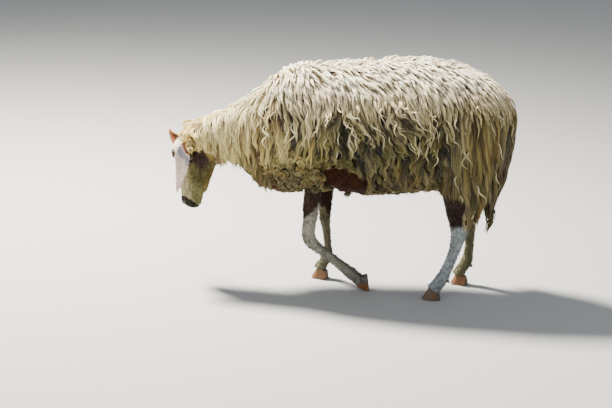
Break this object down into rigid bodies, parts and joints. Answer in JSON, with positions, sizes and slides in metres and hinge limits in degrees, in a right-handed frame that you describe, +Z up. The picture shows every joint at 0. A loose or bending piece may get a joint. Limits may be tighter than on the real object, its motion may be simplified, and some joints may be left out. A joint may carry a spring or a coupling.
{
  "type": "sheep",
  "caption": "Life-size long-woolled, lop-eared sheep in a grazing walk, head down and one fore foot on its toe.",
  "frame": {"origin": "on the floor, under the middle of the whole animal", "axes": "+X from head to tail, so the animal faces -X; +Y to its right side; +Z up"},
  "size_m": [1.1218, 0.401, 0.7714],
  "materials": {
    "fleece": "long open wool in wavy locks, cream at the tips and grey-beige below",
    "face_hair": "short flat hair, grey-white on the muzzle and grey-brown on the cheek",
    "ear": "thin skin with very short white hair, pink shows through, brown at the root",
    "eye": "wet amber-brown eye with a level slot pupil",
    "short_hair": "short white hair on the legs, dark red-brown at their tops and on the belly",
    "leg_wool": "long straight wool on the thigh over short white and brown hair below",
    "horn": "dull grey-brown hoof horn with growth rings"
  },
  "bodies": {
    "root": {"trunk": "fleece", "neck": "fleece", "tail": "fleece", "head": "face_hair", "ear_left": "ear", "ear_right": "ear", "eye_left": "eye", "eye_right": "eye", "udder": "short_hair", "leg_fore_left": "short_hair", "claw_fore_left_outer": "horn", "dewclaw_fore_left_outer": "horn", "claw_fore_left_inner": "horn", "dewclaw_fore_left_inner": "horn", "leg_fore_right": "short_hair", "claw_fore_right_outer": "horn", "dewclaw_fore_right_outer": "horn", "claw_fore_right_inner": "horn", "dewclaw_fore_right_inner": "horn", "leg_hind_left": "leg_wool", "claw_hind_left_outer": "horn", "dewclaw_hind_left_outer": "horn", "claw_hind_left_inner": "horn", "dewclaw_hind_left_inner": "horn", "leg_hind_right": "leg_wool", "claw_hind_right_outer": "horn", "dewclaw_hind_right_outer": "horn", "claw_hind_right_inner": "horn", "dewclaw_hind_right_inner": "horn"}
  },
  "joints": []
}
